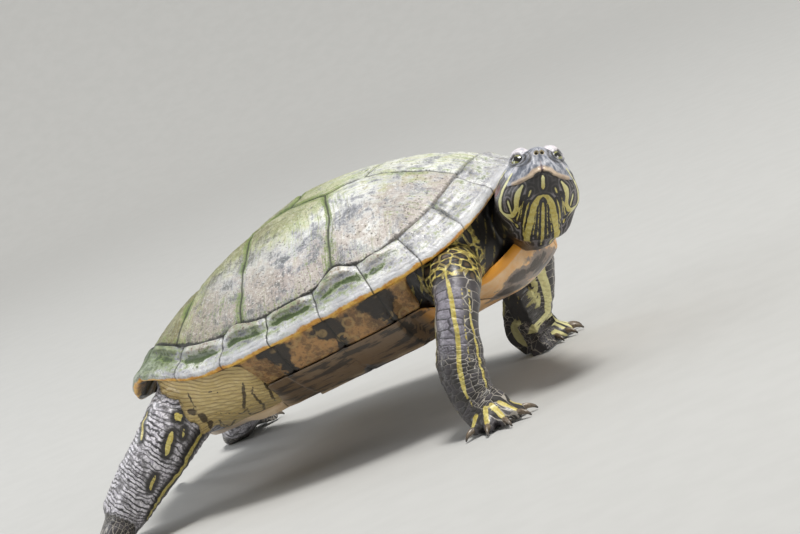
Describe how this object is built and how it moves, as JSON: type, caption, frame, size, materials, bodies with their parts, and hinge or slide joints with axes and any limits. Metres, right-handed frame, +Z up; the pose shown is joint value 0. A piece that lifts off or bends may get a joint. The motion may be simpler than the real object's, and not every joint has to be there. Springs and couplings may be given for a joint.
{
  "type": "red-eared slider turtle",
  "caption": "Still, life-size model of a red-eared slider turtle that stands with its chest raised and its head turned to its right.",
  "frame": {"origin": "on the floor, under the middle of the box round the whole animal", "axes": "+X towards the head, +Y to the animal's left, +Z up"},
  "size_m": [0.2858, 0.2446, 0.1197],
  "materials": {
    "carapace": "weathered horn plates, pale grey with green algae in the seams, a wet sheen",
    "plastron": "horn plates, tan to orange with dark blotches, satin",
    "skin": "scaly olive black skin with yellow stripes, semi-matte",
    "eye": "wet, yellow green iris with a dark bar and a round pupil",
    "claw": "dark horn, satin"
  },
  "bodies": {
    "root": {"bridge_left": "plastron", "bridge_right": "plastron", "carapace": "carapace", "eye_left": "eye", "eye_right": "eye", "fore_left_claw_1": "claw", "fore_left_claw_2": "claw", "fore_left_claw_3": "claw", "fore_left_claw_4": "claw", "fore_left_claw_5": "claw", "fore_left_foot": "skin", "fore_left_lower": "skin", "fore_left_upper": "skin", "fore_right_claw_1": "claw", "fore_right_claw_2": "claw", "fore_right_claw_3": "claw", "fore_right_claw_4": "claw", "fore_right_claw_5": "claw", "fore_right_foot": "skin", "fore_right_lower": "skin", "fore_right_upper": "skin", "head": "skin", "hind_left_claw_1": "claw", "hind_left_claw_2": "claw", "hind_left_claw_3": "claw", "hind_left_claw_4": "claw", "hind_left_foot": "skin", "hind_left_lower": "skin", "hind_left_upper": "skin", "hind_right_claw_1": "claw", "hind_right_claw_2": "claw", "hind_right_claw_3": "claw", "hind_right_claw_4": "claw", "hind_right_foot": "skin", "hind_right_lower": "skin", "hind_right_upper": "skin", "lower_jaw": "skin", "neck": "skin", "plastron": "plastron", "tail": "skin", "trunk": "skin"}
  },
  "joints": []
}
